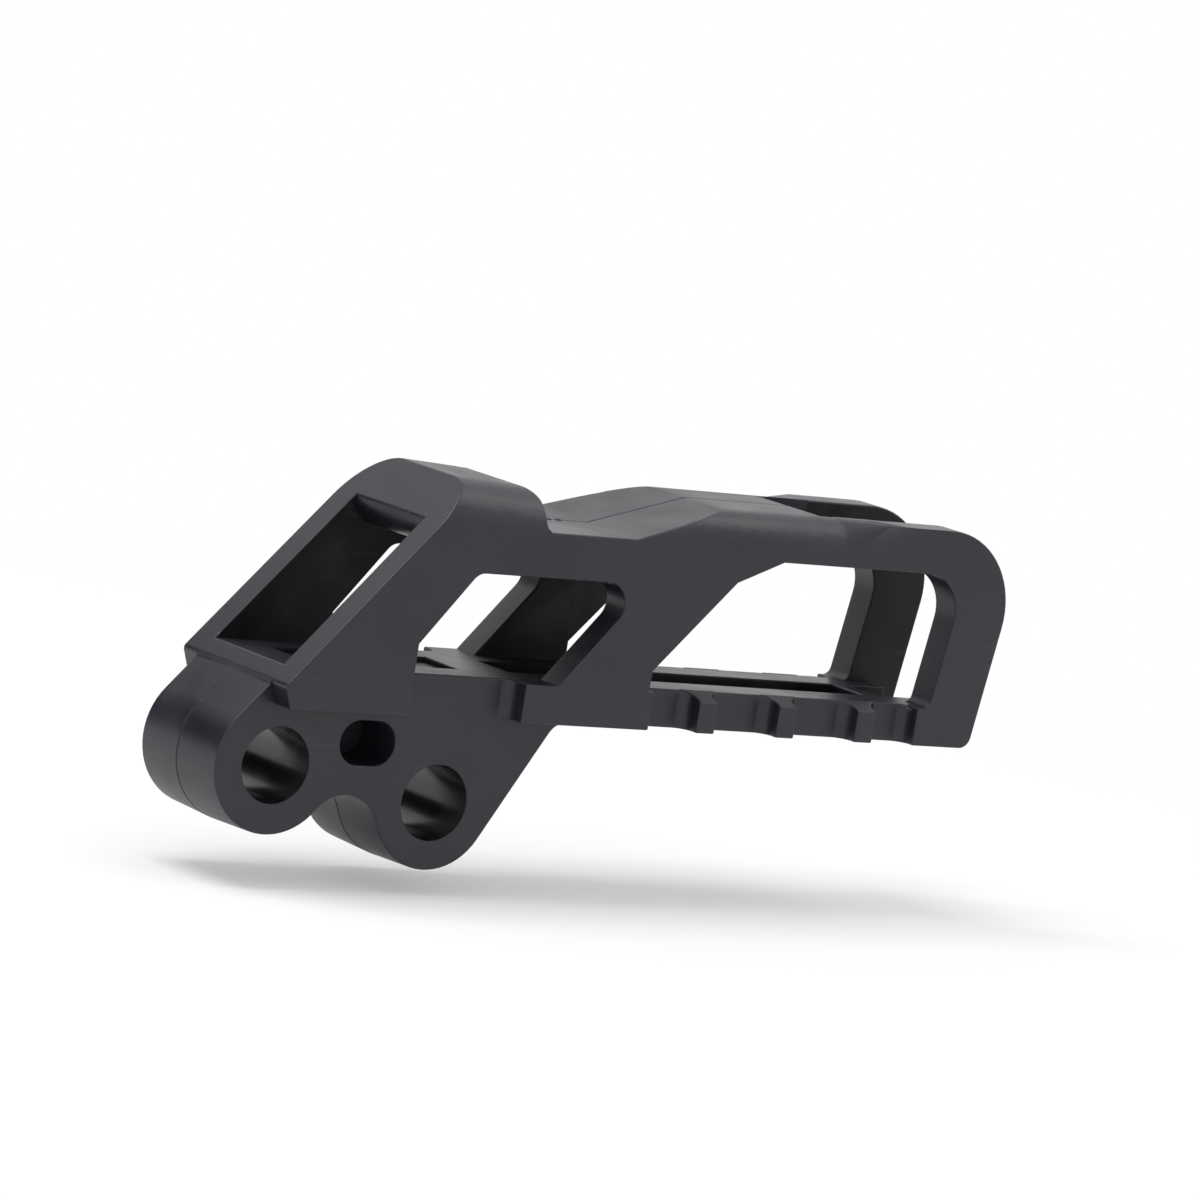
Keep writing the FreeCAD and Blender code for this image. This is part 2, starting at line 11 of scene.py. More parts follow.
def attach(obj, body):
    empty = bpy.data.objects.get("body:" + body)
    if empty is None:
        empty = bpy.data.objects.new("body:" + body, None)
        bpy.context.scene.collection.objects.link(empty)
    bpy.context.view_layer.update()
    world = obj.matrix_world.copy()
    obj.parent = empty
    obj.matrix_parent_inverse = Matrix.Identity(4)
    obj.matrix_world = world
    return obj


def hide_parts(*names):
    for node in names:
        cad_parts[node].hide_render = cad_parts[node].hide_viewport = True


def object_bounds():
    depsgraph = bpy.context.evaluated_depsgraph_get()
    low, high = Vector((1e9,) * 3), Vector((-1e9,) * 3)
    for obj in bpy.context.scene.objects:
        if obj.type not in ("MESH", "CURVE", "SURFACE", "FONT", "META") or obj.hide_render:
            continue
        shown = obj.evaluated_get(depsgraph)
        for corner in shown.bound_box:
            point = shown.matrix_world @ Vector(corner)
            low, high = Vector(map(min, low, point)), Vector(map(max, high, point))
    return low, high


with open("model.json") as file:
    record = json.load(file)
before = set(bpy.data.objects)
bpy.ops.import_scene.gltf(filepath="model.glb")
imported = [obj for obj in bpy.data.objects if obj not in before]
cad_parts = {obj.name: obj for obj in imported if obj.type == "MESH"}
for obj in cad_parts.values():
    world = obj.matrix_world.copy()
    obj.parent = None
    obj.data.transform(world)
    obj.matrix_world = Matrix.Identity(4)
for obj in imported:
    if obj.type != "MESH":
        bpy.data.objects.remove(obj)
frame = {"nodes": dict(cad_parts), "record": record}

scene = bpy.context.scene
scene.view_settings.view_transform = "Standard"
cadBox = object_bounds()
mm = 0.001

# the angle the guide was photographed from
photoCamera = {
    "place": (-0.70011, -1.07933, 0.19947),
    "azimuth": -35.62,
    "elevation": 7.195,
    "roll": 9.25,
    "lens": 217.93,
    "sensor": 36.0,
    "farthest": 60.0,
}


def aimCamera():
    azimuth = math.radians(photoCamera["azimuth"])
    elevation = math.radians(photoCamera["elevation"])
    ahead = Vector((-math.sin(azimuth) * math.cos(elevation),
                    math.cos(azimuth) * math.cos(elevation),
                    -math.sin(elevation)))
    level = ahead.to_track_quat("-Z", "Y").to_matrix()
    rolled = level @ Matrix.Rotation(math.radians(photoCamera["roll"]), 3, "Z")
    data = bpy.data.cameras.new("photoCamera")
    data.lens = photoCamera["lens"]
    data.sensor_width = photoCamera["sensor"]
    data.clip_end = photoCamera["farthest"]
    camera = bpy.data.objects.new("photoCamera", data)
    camera.location = photoCamera["place"]
    camera.rotation_euler = rolled.to_euler()
    scene.collection.objects.link(camera)
    scene.camera = camera
    print("camera aimed")


# small helpers for node trees
def addNode(tree, kind, values=None, **settings):
    node = tree.nodes.new(kind)
    for name, value in settings.items():
        setattr(node, name, value)
    for socket, value in (values or {}).items():
        node.inputs[socket].default_value = value
    return node


def blendColours(tree, mask, first, second):
    # one colour where the mask is 0, the other where it is 1
    blend = addNode(tree, "ShaderNodeMix", data_type="RGBA")
    tree.links.new(mask, blend.inputs[0])
    for socket, colour in ((blend.inputs[6], first), (blend.inputs[7], second)):
        if isinstance(colour, bpy.types.NodeSocket):
            tree.links.new(colour, socket)
        else:
            socket.default_value = (*colour, 1)
    return blend.outputs[2]


def spreadValue(tree, value, low, high, start, end):
    # stretches low..high of a value over start..end
    spread = addNode(tree, "ShaderNodeMapRange", {1: low, 2: high, 3: start, 4: end})
    tree.links.new(value, spread.inputs[0])
    return spread.outputs[0]


def combine(tree, operation, first, second):
    node = addNode(tree, "ShaderNodeMath", operation=operation)
    for socket, value in zip(node.inputs, (first, second)):
        if isinstance(value, bpy.types.NodeSocket):
            tree.links.new(value, socket)
        else:
            socket.default_value = value
    return node.outputs[0]


# what a spark-eroded mould leaves on plastic: fine grain, cloudy gloss and a few scuffs
grainLook = {
    "grainDetail": 2.0,
    "cloudDetail": 5.0,
    "cloudBend": 0.5,
    "cloudRange": (0.36, 0.64),
    "streakStretch": (0.1, 1.0, 1.0),
    "streakDetail": 2.0,
    "streakRange": (0.6, 0.72),
    "patchRange": (0.5, 0.62),
    "scuffRough": 0.2,
}


def mouldGrainGroup():
    group = bpy.data.node_groups.new("mouldGrain", "ShaderNodeTree")
    for name, kind in (("Place", "NodeSocketVector"), ("Grain Scale", "NodeSocketFloat"),
                       ("Cloud Scale", "NodeSocketFloat"), ("Scuff Scale", "NodeSocketFloat")):
        group.interface.new_socket(name, in_out="INPUT", socket_type=kind)
    for name in ("Grain", "Cloud", "Scuff"):
        group.interface.new_socket(name, in_out="OUTPUT", socket_type="NodeSocketFloat")
    given = addNode(group, "NodeGroupInput")
    result = addNode(group, "NodeGroupOutput")

    def noise(place, scale, detail, distortion=0.0):
        node = addNode(group, "ShaderNodeTexNoise", {"Detail": detail, "Distortion": distortion})
        group.links.new(place, node.inputs["Vector"])
        group.links.new(given.outputs[scale], node.inputs["Scale"])
        return node.outputs[0]

    place = given.outputs["Place"]
    group.links.new(noise(place, "Grain Scale", grainLook["grainDetail"]), result.inputs["Grain"])
    cloud = noise(place, "Cloud Scale", grainLook["cloudDetail"], grainLook["cloudBend"])
    group.links.new(spreadValue(group, cloud, *grainLook["cloudRange"], 0, 1), result.inputs["Cloud"])

    # scuffs run along the rail, in patches
    stretched = addNode(group, "ShaderNodeVectorMath", {1: grainLook["streakStretch"]},
                        operation="MULTIPLY")
    group.links.new(place, stretched.inputs[0])
    streaks = noise(stretched.outputs[0], "Scuff Scale", grainLook["streakDetail"])
    streak = spreadValue(group, streaks, *grainLook["streakRange"], 0, 1)
    patch = spreadValue(group, cloud, *grainLook["patchRange"], 0, 1)
    group.links.new(combine(group, "MULTIPLY", streak, patch), result.inputs["Scuff"])
    return group


# the satin skin of the outside
outerFinish = {
    "dark": (0.0082, 0.0090, 0.0148),
    "light": (0.0128, 0.0136, 0.0204),
    "scuffed": (0.038, 0.038, 0.041),
    "scuffShare": 0.3,
    "sheen": 0.48,
    "smooth": 0.34,
    "rough": 0.43,
    "grainScale": 2600.0,
    "cloudScale": 55.0,
    "scuffScale": 900.0,
    "grainDepth": 0.022 * mm,
}

# the walls inside the tunnel, with painted shade: a darker colour and weaker sheen stand in for the shade
# inside it, with real scuffs and grain
tunnelStainsAndShadeFinish = {
    "dark": (0.0030, 0.0031, 0.0040),
    "light": (0.0085, 0.0087, 0.0100),
    "scuffed": (0.045, 0.045, 0.046),
    "scuffShare": 0.4,
    "sheen": 0.24,
    "smooth": 0.36,
    "rough": 0.58,
    "grainScale": 2600.0,
    "cloudScale": 120.0,
    "scuffScale": 600.0,
    "grainDepth": 0.018 * mm,
}

# smooth core pins leave the bores glossier than the rest
boreFinish = {
    "dark": (0.0085, 0.0088, 0.0105),
    "light": (0.0125, 0.0128, 0.0148),
    "scuffed": (0.030, 0.030, 0.031),
    "scuffShare": 0.2,
    "sheen": 0.45,
    "smooth": 0.19,
    "rough": 0.27,
    "grainScale": 2600.0,
    "cloudScale": 90.0,
    "scuffScale": 700.0,
    "grainDepth": 0.006 * mm,
}


def mouldedPlastic(name, finish, grainGroup):
    material = bpy.data.materials.new(name)
    material.use_nodes = True
    tree = material.node_tree
    shader = tree.nodes["Principled BSDF"]
    shader.inputs["Specular IOR Level"].default_value = finish["sheen"]
    place = addNode(tree, "ShaderNodeTexCoord").outputs["Object"]
    grain = addNode(tree, "ShaderNodeGroup", node_tree=grainGroup)
    grain.inputs["Grain Scale"].default_value = finish["grainScale"]
    grain.inputs["Cloud Scale"].default_value = finish["cloudScale"]
    grain.inputs["Scuff Scale"].default_value = finish["scuffScale"]
    tree.links.new(place, grain.inputs["Place"])
    clean = blendColours(tree, grain.outputs["Cloud"], finish["dark"], finish["light"])
    scuffed = combine(tree, "MULTIPLY", grain.outputs["Scuff"], finish["scuffShare"])
    tree.links.new(blendColours(tree, scuffed, clean, finish["scuffed"]), shader.inputs["Base Color"])
    gloss = spreadValue(tree, grain.outputs["Cloud"], 0, 1, finish["smooth"], finish["rough"])
    dulled = combine(tree, "MULTIPLY", scuffed, grainLook["scuffRough"])
    tree.links.new(combine(tree, "ADD", gloss, dulled), shader.inputs["Roughness"])
    bump = addNode(tree, "ShaderNodeBump", {"Strength": 1.0, "Distance": finish["grainDepth"]})
    tree.links.new(grain.outputs["Grain"], bump.inputs["Height"])
    tree.links.new(bump.outputs["Normal"], shader.inputs["Normal"])
    return material


# the moulded body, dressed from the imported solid, with its angles in degrees
moulding = {
    "weld": 0.05 * mm,
    "midSlack": 0.1 * mm,
    "flatAngle": 0.5,
    "upright": 0.98,
    "sideCuts": (0.0, 18.75 * mm, 35.0 * mm, 45.0 * mm, 115.0 * mm),  # bores, pocket and windows
    "edgeRadius": 0.32 * mm,
    "edgeSteps": 3,
    "edgeAngle": 40.0,
    "pinched": 40.0,
    "runsOn": 140.0,
    "room": 1.6,
    "shortEdge": 1.0 * mm,
    "tries": 4,
    "crowding": 0.5 * mm,
    "smallFace": 8.0 * mm * mm,
    "creaseAngle": 38.0,
    "narrowest": 1.0,
    "turned": -0.05,
    "cutSlack": 0.005 * mm,
    "touching": 0.0001 * mm,
}


def bakedMesh(piece, name):
    # the evaluated shape as a plain mesh
    graph = bpy.context.evaluated_depsgraph_get()
    mesh = bpy.data.meshes.new_from_object(piece.evaluated_get(graph))
    mesh.name = name
    return mesh


def everyPart(skin):
    return skin.verts[:] + skin.edges[:] + skin.faces[:]


def halfSkin(node):
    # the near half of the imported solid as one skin, open along the mid-plane
    skin = bmesh.new()
    skin.from_mesh(node.data)
    bmesh.ops.remove_doubles(skin, verts=skin.verts, dist=moulding["weld"])
    bmesh.ops.dissolve_degenerate(skin, dist=humpEnd["near"], edges=skin.edges)
    bmesh.ops.bisect_plane(skin, geom=everyPart(skin), dist=moulding["weld"], plane_co=(0, 0, 0),
                           plane_no=(0, 1, 0), clear_outer=True)
    for vertex in skin.verts:
        if abs(vertex.co.y) < moulding["midSlack"]:
            vertex.co.y = 0
    blendFoot(skin)
    levelHumpEnd(skin)
    splitSides(skin)
    bmesh.ops.dissolve_limit(skin, angle_limit=math.radians(moulding["flatAngle"]),
                             verts=skin.verts, edges=skin.edges, delimit={"MATERIAL", "SEAM"})
    skin.normal_update()
    return skin


# the frame's foot runs flush into the front of the lug between these two points
footBlend = {
    "lowMiddle": (-4.3 * mm, 14.7 * mm),
    "lowSide": (-4.15 * mm, 14.37 * mm),
    "high": (-3.27 * mm, 15.85 * mm),
    "lugHalf": 12.7 * mm,
    "around": 1.4 * mm,
}


def blendFoot(skin):
    # fills the notch between the frame's rounded foot and the lug
    lowMiddle = Vector(footBlend["lowMiddle"])
    lowSide = Vector(footBlend["lowSide"])
    high = Vector(footBlend["high"])
    middle = (lowMiddle + high) / 2
    side = -footBlend["lugHalf"]

    def inNotch(place):
        return (Vector((place.x, place.z)) - middle).length < footBlend["around"]

    def overLug(face):
        return all(inNotch(corner.co) for corner in face.verts) and face.calc_center_median().y > side

    def onLugSide(edge):
        return all(abs(end.co.y - side) < moulding["weld"] and inNotch(end.co) for end in edge.verts)

    faces = [face for face in skin.faces if all(inNotch(corner.co) for corner in face.verts)]
    cutFaces(skin, faces, (0, side, 0), (0, 1, 0))
    seam = [edge for edge in skin.edges
            if onLugSide(edge) and any(overLug(face) for face in edge.link_faces)]
    bmesh.ops.split_edges(skin, edges=seam)
    for vertex in dict.fromkeys(corner for face in skin.faces if overLug(face) for corner in face.verts):
        low = lowMiddle.lerp(lowSide, vertex.co.y / side)
        rise = high - low
        share = (Vector((vertex.co.x, vertex.co.z)) - low).dot(rise) / rise.length_squared
        if 0 < share < 1:
            vertex.co.x, vertex.co.z = low + rise * share
    gap = [edge for edge in skin.edges if len(edge.link_faces) == 1 and onLugSide(edge)]
    # another slot keeps the new wall apart from the lug's side when flat faces are joined
    for face in bmesh.ops.holes_fill(skin, edges=gap, sides=0)["faces"]:
        face.material_index = 1


# where the hump's top runs out over the step behind it
humpEnd = {
    "along": 44.8 * mm,
    "height": 53.1 * mm,
    "near": 0.02 * mm,
}


def levelHumpEnd(skin):
    # takes away the hair-thin ledge at the hump's rear edge
    def atEnd(place):
        return abs(place.x - humpEnd["along"]) < humpEnd["near"]

    def onLedge(place):
        return atEnd(place) and abs(place.z - humpEnd["height"]) < humpEnd["near"]

    ledge = [edge for edge in skin.edges if all(onLedge(end.co) for end in edge.verts)]
    bmesh.ops.dissolve_edges(skin, edges=ledge, use_verts=False)
    for vertex in skin.verts:
        if atEnd(vertex.co) and vertex.co.z > humpEnd["height"]:
            vertex.co.z = humpEnd["height"]
    bmesh.ops.remove_doubles(skin, verts=skin.verts, dist=humpEnd["near"])
    bmesh.ops.dissolve_degenerate(skin, dist=humpEnd["near"], edges=skin.edges)


def cutFaces(skin, faces, place, direction):
    edges = list(dict.fromkeys(edge for face in faces for edge in face.edges))
    corners = list(dict.fromkeys(corner for face in faces for corner in face.verts))
    return bmesh.ops.bisect_plane(skin, geom=faces + edges + corners, dist=moulding["cutSlack"],
                                  plane_co=place, plane_no=direction)["geom_cut"]


def splitSides(skin):
    # cuts the upright sides across their holes, so that no joined face goes round one
    skin.normal_update()
    for along in moulding["sideCuts"]:
        faces = [face for face in skin.faces if abs(face.normal.y) > moulding["upright"]]
        for part in cutFaces(skin, faces, (along, 0, 0), (1, 0, 0)):
            if isinstance(part, bmesh.types.BMEdge):
                part.seam = True


def markEdges(skin):
    # gives every edge that stands out its share of the rounding
    layer = skin.edges.layers.float.new("bevel_weight_edge")
    limit = math.radians(moulding["edgeAngle"])
    for edge in skin.edges:
        if len(edge.link_faces) == 2 and edge.calc_face_angle_signed(0) > limit:
            edge[layer] = 1.0
    return layer


def rowEnd(vertex, layer):
    # the one marked edge at a vertex where a row of them stops, if it does
    marked = [edge for edge in vertex.link_edges if edge[layer]]
    if len(marked) != 1 or any(len(edge.link_faces) < 2 for edge in vertex.link_edges):
        return None
    return marked[0]


def cornerAngle(face, vertex):
    loop = next(loop for loop in face.loops if loop.vert is vertex)
    angle = math.degrees(loop.calc_angle())
    return angle if loop.is_convex else 360 - angle


def roomAcross(face, vertex, edge):
    # how far a face reaches square to an edge at one of its ends
    along = (edge.other_vert(vertex).co - vertex.co).normalized()
    across = face.normal.cross(along).normalized()
    if sum((corner.co - vertex.co).dot(across) for corner in face.verts) < 0:
        across = -across
    reach = math.inf
    for side in face.edges:
        if vertex in side.verts:
            continue
        start, end = (corner.co - vertex.co for corner in side.verts)
        before, after = start.dot(along), end.dot(along)
        if (before > 0) != (after > 0):
            distance = start.lerp(end, before / (before - after)).dot(across)
            if distance > moulding["touching"]:
                reach = min(reach, distance)
    return reach


def tightLength(edge, vertex):
    # the length of an edge that has no room for rounding at this end
    needed = moulding["room"] * moulding["edgeRadius"]
    tight = 0
    for face in edge.link_faces:
        angle = cornerAngle(face, vertex)
        if angle < moulding["pinched"]:
            tight = max(tight, needed / math.sin(math.radians(max(angle, moulding["narrowest"]))))
        elif angle > moulding["runsOn"] and roomAcross(face, vertex, edge) < needed:
            tight = max(tight, needed)
    return tight


def leaveTightEnds(skin, layer):
    # keeps an edge sharp where it runs into a narrow corner
    changed = True
    while changed:
        changed = False
        for vertex in list(skin.verts):
            edge = rowEnd(vertex, layer)
            tight = tightLength(edge, vertex) if edge else 0
            if not tight:
                continue
            changed = True
            if edge.calc_length() > tight + moulding["shortEdge"]:
                middle = bmesh.utils.edge_split(edge, vertex, tight / edge.calc_length())[1]
                for part in middle.link_edges:
                    part[layer] = 0.0 if vertex in part.verts else 1.0
            else:
                edge[layer] = 0.0


def squareEnds(skin, layer):
    # a cut square to the edge, so that each rounding stops cleanly
    for vertex in [vertex for vertex in skin.verts if rowEnd(vertex, layer)]:
        edge = rowEnd(vertex, layer)
        faces = [face for face in edge.link_faces if cornerAngle(face, vertex) > moulding["runsOn"]]
        if faces:
            cutFaces(skin, faces, vertex.co, edge.other_vert(vertex).co - vertex.co)
    skin.normal_update()


def bevelled(skin):
    mesh = bpy.data.meshes.new("guideHalf")
    skin.to_mesh(mesh)
    layer = mesh.attributes.get("custom_normal")
    if layer is not None:
        mesh.attributes.remove(layer)
    mesh.materials.clear()
    piece = bpy.data.objects.new("guideHalf", mesh)
    scene.collection.objects.link(piece)
    bevel = piece.modifiers.new("softEdges", "BEVEL")
    bevel.width = moulding["edgeRadius"]
    bevel.segments = moulding["edgeSteps"]
    bevel.limit_method = "WEIGHT"
    bevel.use_clamp_overlap = False
    bevel.loop_slide = False
    softened = bakedMesh(piece, "guideMoulding")
    bpy.data.objects.remove(piece)
    return softened


def crumpledSpots(mesh, surface):
    # corners of the small faces that the rounding has turned inside out
    spots = set()
    for face in mesh.polygons:
        if face.area > moulding["smallFace"]:
            continue
        normal = surface.find_nearest(face.center)[1]
        if face.normal.dot(normal) < moulding["turned"]:
            spots.update(face.vertices)
    return [mesh.vertices[index].co.copy() for index in spots]


def crowded(edge, spots):
    start, end = (corner.co for corner in edge.verts)
    for spot in spots:
        share = intersect_point_line(spot, start, end)[1]
        nearest = start.lerp(end, min(max(share, 0), 1))
        if (spot - nearest).length < moulding["crowding"]:
            return True
    return False


def roundedHalf(skin):
    # the small radius that the mould leaves along every edge with room for it
    surface = BVHTree.FromBMesh(skin)
    layer = markEdges(skin)
    for attempt in range(moulding["tries"]):
        leaveTightEnds(skin, layer)
        squareEnds(skin, layer)
        softened = bevelled(skin)
        spots = crumpledSpots(softened, surface)
        print("edges rounded, crumpled corners:", len(spots))
        if not spots:
            break
        for edge in skin.edges:
            if edge[layer] and crowded(edge, spots):
                edge[layer] = 0.0
    skin.free()
    return softened


# the line where the two halves of the mould met, a fine groove along the mid-plane
partingLine = {
    "halfWidth": 0.26 * mm,
    "depth": 0.34 * mm,
    "valleyStart": 62.5 * mm,
    "topAbove": 45.0 * mm,
    "lugBelow": 13.0 * mm,
    "fade": 2.5 * mm,
    "boreMargin": 0.5 * mm,
    "facesUp": (0.2, 0.5),
    "levelFrom": 0.9,
    "slack": 0.01 * mm,
}


def ease(value, start, end):
    share = min(max((value - start) / (end - start), 0), 1)
    return share * share * (3 - 2 * share)


def grooveShare(place, normal):
    # how much of the parting line's depth shows at a point of the mid-plane
    for mount in frame["record"]["mounts"]:
        away = place - Vector(mount["pos_m"])
        if math.hypot(away.x, away.z) < mount["dims"]["r_mm"] * mm + partingLine["boreMargin"]:
            return 0
    if place.z > partingLine["topAbove"]:
        facesUp = ease(normal.z, *partingLine["facesUp"])
        start = partingLine["valleyStart"]
        return facesUp * ease(place.x, start - partingLine["fade"], start)
    if normal.z > partingLine["levelFrom"]:
        return 0
    return 1 - ease(place.z, partingLine["lugBelow"] - partingLine["fade"], partingLine["lugBelow"])


# two round marks that the mould's gate leaves in the valley, ahead of the parting line
gateMarks = {
    "along": (61.0 * mm, 58.7 * mm),
    "above": 0.1,
    "ringRadius": 0.5 * mm,
    "rimRadius": 0.2 * mm,
    "ringSteps": 28,
    "rimSteps": 10,
}


def gateMarkTree():
    tree = bpy.data.node_groups.new("gateMarks", "GeometryNodeTree")
    tree.interface.new_socket("Geometry", in_out="OUTPUT", socket_type="NodeSocketGeometry")
    for name, kind in (("First", "NodeSocketVector"), ("Step", "NodeSocketVector"),
                       ("Ring Radius", "NodeSocketFloat"), ("Rim Radius", "NodeSocketFloat"),
                       ("Plastic", "NodeSocketMaterial")):
        tree.interface.new_socket(name, in_out="INPUT", socket_type=kind)
    given = addNode(tree, "NodeGroupInput")
    result = addNode(tree, "NodeGroupOutput")
    places = addNode(tree, "GeometryNodeMeshLine", {"Count": len(gateMarks["along"])}, mode="OFFSET")
    tree.links.new(given.outputs["First"], places.inputs["Start Location"])
    tree.links.new(given.outputs["Step"], places.inputs["Offset"])
    ring = addNode(tree, "GeometryNodeCurvePrimitiveCircle", {"Resolution": gateMarks["ringSteps"]})
    rim = addNode(tree, "GeometryNodeCurvePrimitiveCircle", {"Resolution": gateMarks["rimSteps"]})
    tree.links.new(given.outputs["Ring Radius"], ring.inputs["Radius"])
    tree.links.new(given.outputs["Rim Radius"], rim.inputs["Radius"])
    swept = addNode(tree, "GeometryNodeCurveToMesh")
    tree.links.new(ring.outputs["Curve"], swept.inputs["Curve"])
    tree.links.new(rim.outputs["Curve"], swept.inputs["Profile Curve"])
    spread = addNode(tree, "GeometryNodeInstanceOnPoints")
    tree.links.new(places.outputs["Mesh"], spread.inputs["Points"])
    tree.links.new(swept.outputs["Mesh"], spread.inputs["Instance"])
    real = addNode(tree, "GeometryNodeRealizeInstances")
    tree.links.new(spread.outputs["Instances"], real.inputs["Geometry"])
    dressed = addNode(tree, "GeometryNodeSetMaterial")
    tree.links.new(real.outputs["Geometry"], dressed.inputs["Geometry"])
    tree.links.new(given.outputs["Plastic"], dressed.inputs["Material"])
    tree.links.new(dressed.outputs["Geometry"], result.inputs["Geometry"])
    return tree


def gateMarkMesh(surface, plastic):
    # the marks lie on the valley, wherever that is
    places = []
    for along in gateMarks["along"]:
        start = Vector((along, -partingLine["halfWidth"], gateMarks["above"]))
        hit = surface.ray_cast(start, Vector((0, 0, -1)))[0]
        places.append(Vector((along, 0, hit.z)))
    tree = gateMarkTree()
    piece = bpy.data.objects.new("gateMarks", bpy.data.meshes.new("gateMarks"))
    scene.collection.objects.link(piece)
    modifier = piece.modifiers.new("gateMarks", "NODES")
    modifier.node_group = tree
    values = {"First": places[0], "Step": places[1] - places[0], "Ring Radius": gateMarks["ringRadius"],
              "Rim Radius": gateMarks["rimRadius"], "Plastic": plastic}
    for item in tree.interface.items_tree:
        if item.in_out == "INPUT":
            modifier[item.identifier] = values[item.name]
    marks = bakedMesh(piece, "gateMarks")
    bpy.data.objects.remove(piece)
    return marks


def closedMoulding(mesh, plastics):
    # cuts the parting line, then mirrors the half into the whole guide
    skin = bmesh.new()
    skin.from_mesh(mesh)
    marks = gateMarkMesh(BVHTree.FromBMesh(skin), plastics[0])
    bmesh.ops.bisect_plane(skin, geom=everyPart(skin), dist=partingLine["slack"],
                           plane_co=(0, -partingLine["halfWidth"], 0), plane_no=(0, 1, 0))
    skin.normal_update()
    for vertex in skin.verts:
        if abs(vertex.co.y) < partingLine["slack"]:
            inward = Vector((-vertex.normal.x, 0, -vertex.normal.z)).normalized()
            vertex.co += inward * partingLine["depth"] * grooveShare(vertex.co, -inward)
            vertex.co.y = 0
    bmesh.ops.mirror(skin, geom=everyPart(skin), matrix=Matrix.Identity(4),
                     merge_dist=moulding["cutSlack"], axis="Y")
    skin.from_mesh(marks)
    bmesh.ops.recalc_face_normals(skin, faces=skin.faces)
    loose = sum(1 for edge in skin.edges if not edge.is_manifold)
    print("moulding closed, open edges:", loose)
    skin.to_mesh(mesh)
    skin.free()
    mesh.shade_smooth()
    mesh.set_sharp_from_angle(angle=math.radians(moulding["creaseAngle"]))
    piece = bpy.data.objects.new("guideMoulding", mesh)
    scene.collection.objects.link(piece)
    # flat faces stay flat beside their rounded edges
    weighted = piece.modifiers.new("evenShading", "WEIGHTED_NORMAL")
    weighted.mode = "FACE_AREA"
    weighted.keep_sharp = True
    piece.data = bakedMesh(piece, "guideMoulding")
    piece.modifiers.clear()
    return piece


# walls of the tunnel, which a sliding core shapes, take the plastic with painted shade, coloured darker
# than the outside for the shade inside the tunnel
tunnelWalls = {
    "wallTilt": 0.5,
    "reach": 11.9 * mm,
    "low": 14.0 * mm,
    "high": 46.3 * mm,
}


def tunnelFace(face):
    middle = face.center
    if abs(middle.y) > tunnelWalls["reach"]:
        return False
    if not tunnelWalls["low"] < middle.z < tunnelWalls["high"]:
        return False
    return face.normal.y * middle.y < 0 and abs(face.normal.y) > tunnelWalls["wallTilt"]


# walls of the two bores, which the core pins shape
boreWalls = {
    "wallTilt": 0.3,
    "slack": 0.05 * mm,
}


def boreFace(face):
    for mount in frame["record"]["mounts"]:
        away = face.center - Vector(mount["pos_m"])
        away.y = 0
        reach = mount["dims"]["r_mm"] * mm + boreWalls["slack"]
        if away.length < reach and abs(face.normal.y) < boreWalls["wallTilt"]:
            return True
    return False


def dressMoulding(piece, plastics):
    piece.data.materials.clear()
    for plastic in plastics:
        piece.data.materials.append(plastic)
    outerSlot, tunnelStainAndShadeSlot, boreSlot = range(len(plastics))
    # the tunnel's walls take the plastic painted darker for the shade inside the tunnel
    for face in piece.data.polygons:
        face.material_index = tunnelStainAndShadeSlot if tunnelFace(face) else boreSlot if boreFace(face) else outerSlot


# a pale floor under two soft lamps, with a dark card, in a plain white surround
studio = {
    "floorGap": 4.5 * mm,
    "floorSize": 14.0,
    "floorTone": 0.95,
    "floorRough": 0.95,
    "plainLeast": 0.3,
    "plainFrom": 0.16,
    "plainBy": 0.42,
    "ambient": 0.66,
    "topPower": 4.4,
    "topPlace": (-0.3, 0.05, 0.85),
    "topSize": (0.45, 0.45),
    "sidePower": 1.1,
    "sidePlace": (0.68, -0.1, 0.8),
    "sideSize": (0.5, 0.5),
    "cardAlong": (-0.9, -0.02),
    "cardAcross": 0.2,
    "cardLow": 0.012,
    "cardHigh": 0.14,
    "cardTone": 0.01,
}


def seenDirectly(tree):
    # 1 for rays that show the surround itself, and not the light it gives
    path = addNode(tree, "ShaderNodeLightPath")
    mirrored = combine(tree, "MAXIMUM", path.outputs["Is Glossy Ray"], path.outputs["Is Transmission Ray"])
    return combine(tree, "MAXIMUM", path.outputs["Is Camera Ray"], mirrored)


def plainFloor(lowest, middle):
    mesh = bpy.data.meshes.new("studioFloor")
    half = studio["floorSize"] / 2
    corners = [(-half, -half, lowest), (half, -half, lowest), (half, half, lowest), (-half, half, lowest)]
    mesh.from_pydata(corners, [], [(0, 1, 2, 3)])
    floor = bpy.data.objects.new("studioFloor", mesh)
    scene.collection.objects.link(floor)
    material = bpy.data.materials.new("paleFloor")
    material.use_nodes = True
    tree = material.node_tree
    shader = tree.nodes["Principled BSDF"]
    shader.inputs["Base Color"].default_value = (*[studio["floorTone"]] * 3, 1)
    shader.inputs["Roughness"].default_value = studio["floorRough"]
    shader.inputs["Specular IOR Level"].default_value = 0
    # away from the object the floor passes into the plain white surround
    place = addNode(tree, "ShaderNodeTexCoord").outputs["Object"]
    away = addNode(tree, "ShaderNodeVectorMath", {1: (middle[0], middle[1], lowest)}, operation="DISTANCE")
    tree.links.new(place, away.inputs[0])
    far = spreadValue(tree, away.outputs["Value"], studio["plainFrom"], studio["plainBy"],
                      studio["plainLeast"], 1)
    white = addNode(tree, "ShaderNodeEmission", {"Strength": 1.0})
    mix = addNode(tree, "ShaderNodeMixShader")
    tree.links.new(combine(tree, "MULTIPLY", far, seenDirectly(tree)), mix.inputs[0])
    tree.links.new(shader.outputs[0], mix.inputs[1])
    tree.links.new(white.outputs[0], mix.inputs[2])
    tree.links.new(mix.outputs[0], tree.nodes["Material Output"].inputs["Surface"])
    mesh.materials.append(material)


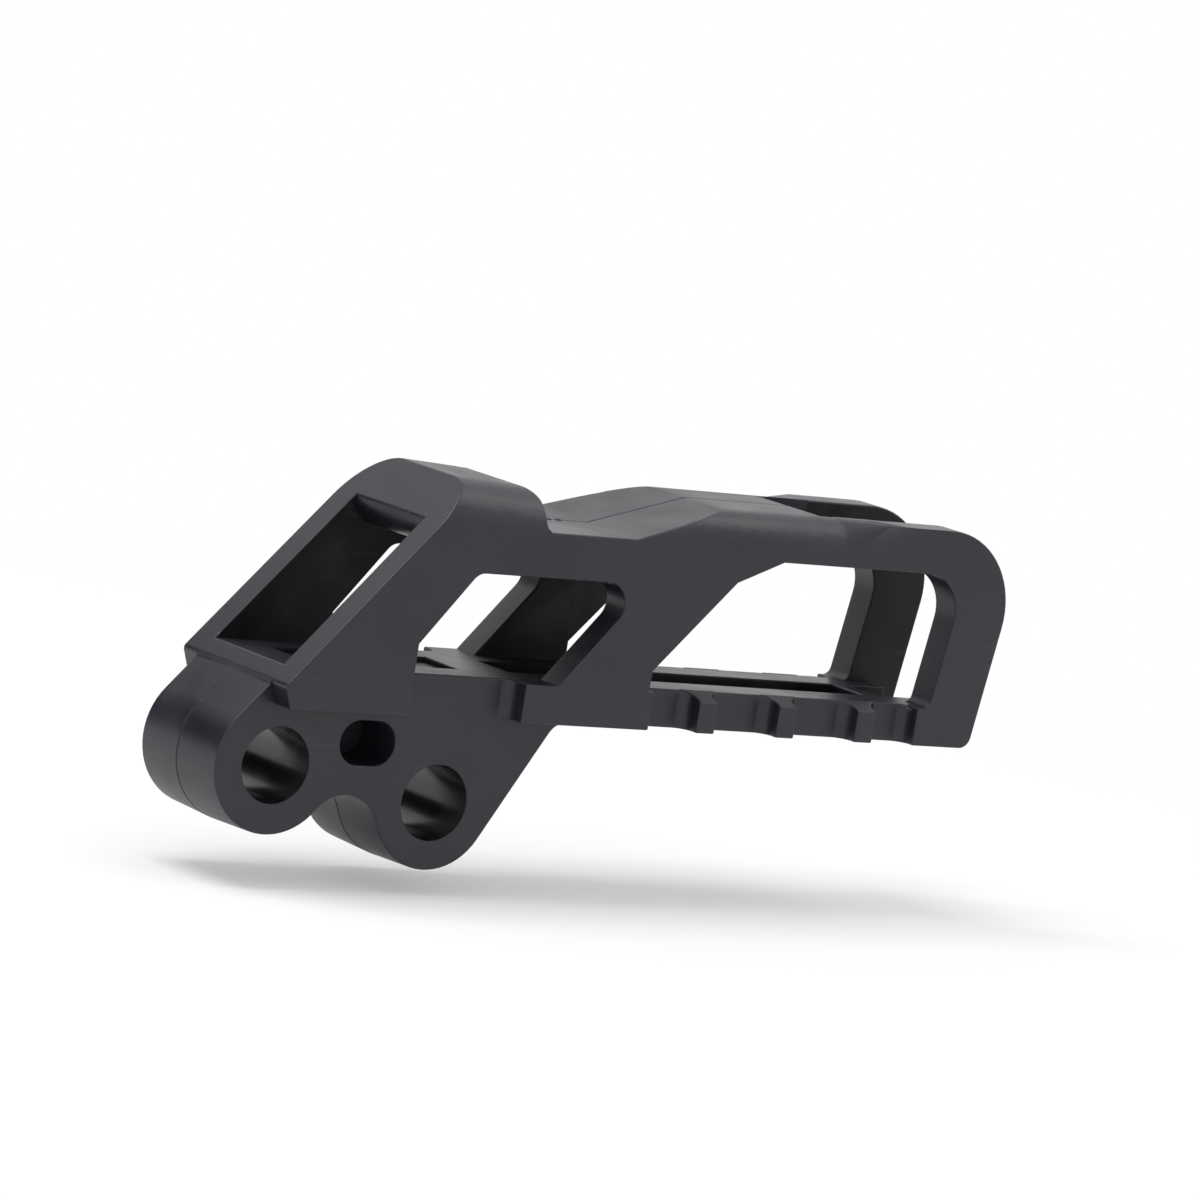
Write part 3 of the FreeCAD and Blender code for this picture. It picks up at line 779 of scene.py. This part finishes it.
def softBox(name, place, aim, size, power):
    data = bpy.data.lights.new(name, "AREA")
    data.shape = "RECTANGLE"
    data.size, data.size_y = size
    data.energy = power
    lamp = bpy.data.objects.new(name, data)
    lamp.location = place
    lamp.rotation_euler = (Vector(aim) - Vector(place)).to_track_quat("-Z", "Y").to_euler()
    scene.collection.objects.link(lamp)


def darkCard():
    # a dark card at the left, seen only in the sheen of the faces turned towards it
    mesh = bpy.data.meshes.new("darkCard")
    left, right = studio["cardAlong"]
    across, low, high = studio["cardAcross"], studio["cardLow"], studio["cardHigh"]
    corners = [(left, across, low), (right, across, low), (right, across, high), (left, across, high)]
    mesh.from_pydata(corners, [], [(0, 1, 2, 3)])
    card = bpy.data.objects.new("darkCard", mesh)
    scene.collection.objects.link(card)
    material = bpy.data.materials.new("cardBlack")
    material.use_nodes = True
    shader = material.node_tree.nodes["Principled BSDF"]
    shader.inputs["Base Color"].default_value = (*[studio["cardTone"]] * 3, 1)
    shader.inputs["Specular IOR Level"].default_value = 0
    mesh.materials.append(material)
    card.visible_camera = False
    card.visible_diffuse = False
    card.visible_shadow = False
    card.visible_transmission = False


def whiteSurround():
    world = bpy.data.worlds.new("whiteSurround")
    world.use_nodes = True
    tree = world.node_tree
    background = tree.nodes["Background"]
    background.inputs["Color"].default_value = (1, 1, 1, 1)
    strength = spreadValue(tree, seenDirectly(tree), 0, 1, studio["ambient"], 1.0)
    tree.links.new(strength, background.inputs["Strength"])
    scene.world = world


aimCamera()
grainGroup = mouldGrainGroup()
# the tunnel's plastic has painted shade: it is coloured darker for the shade inside the tunnel
plastics = [mouldedPlastic("satinMoulding", outerFinish, grainGroup),
            mouldedPlastic("tunnelStainsAndPaintedShade", tunnelStainsAndShadeFinish, grainGroup),
            mouldedPlastic("boreMoulding", boreFinish, grainGroup)]
guide = closedMoulding(roundedHalf(halfSkin(frame["nodes"]["chain_guide"])), plastics)
dressMoulding(guide, plastics)
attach(guide, "root")
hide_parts("chain_guide")
print("moulding dressed:", len(guide.data.polygons), "faces")

middle = [(low + high) / 2 for low, high in zip(*cadBox)]
plainFloor(cadBox[0].z - studio["floorGap"], middle)
darkCard()
whiteSurround()
softBox("topLight", studio["topPlace"], middle, studio["topSize"], studio["topPower"])
softBox("sideLight", studio["sidePlace"], middle, studio["sideSize"], studio["sidePower"])
print("studio lit")
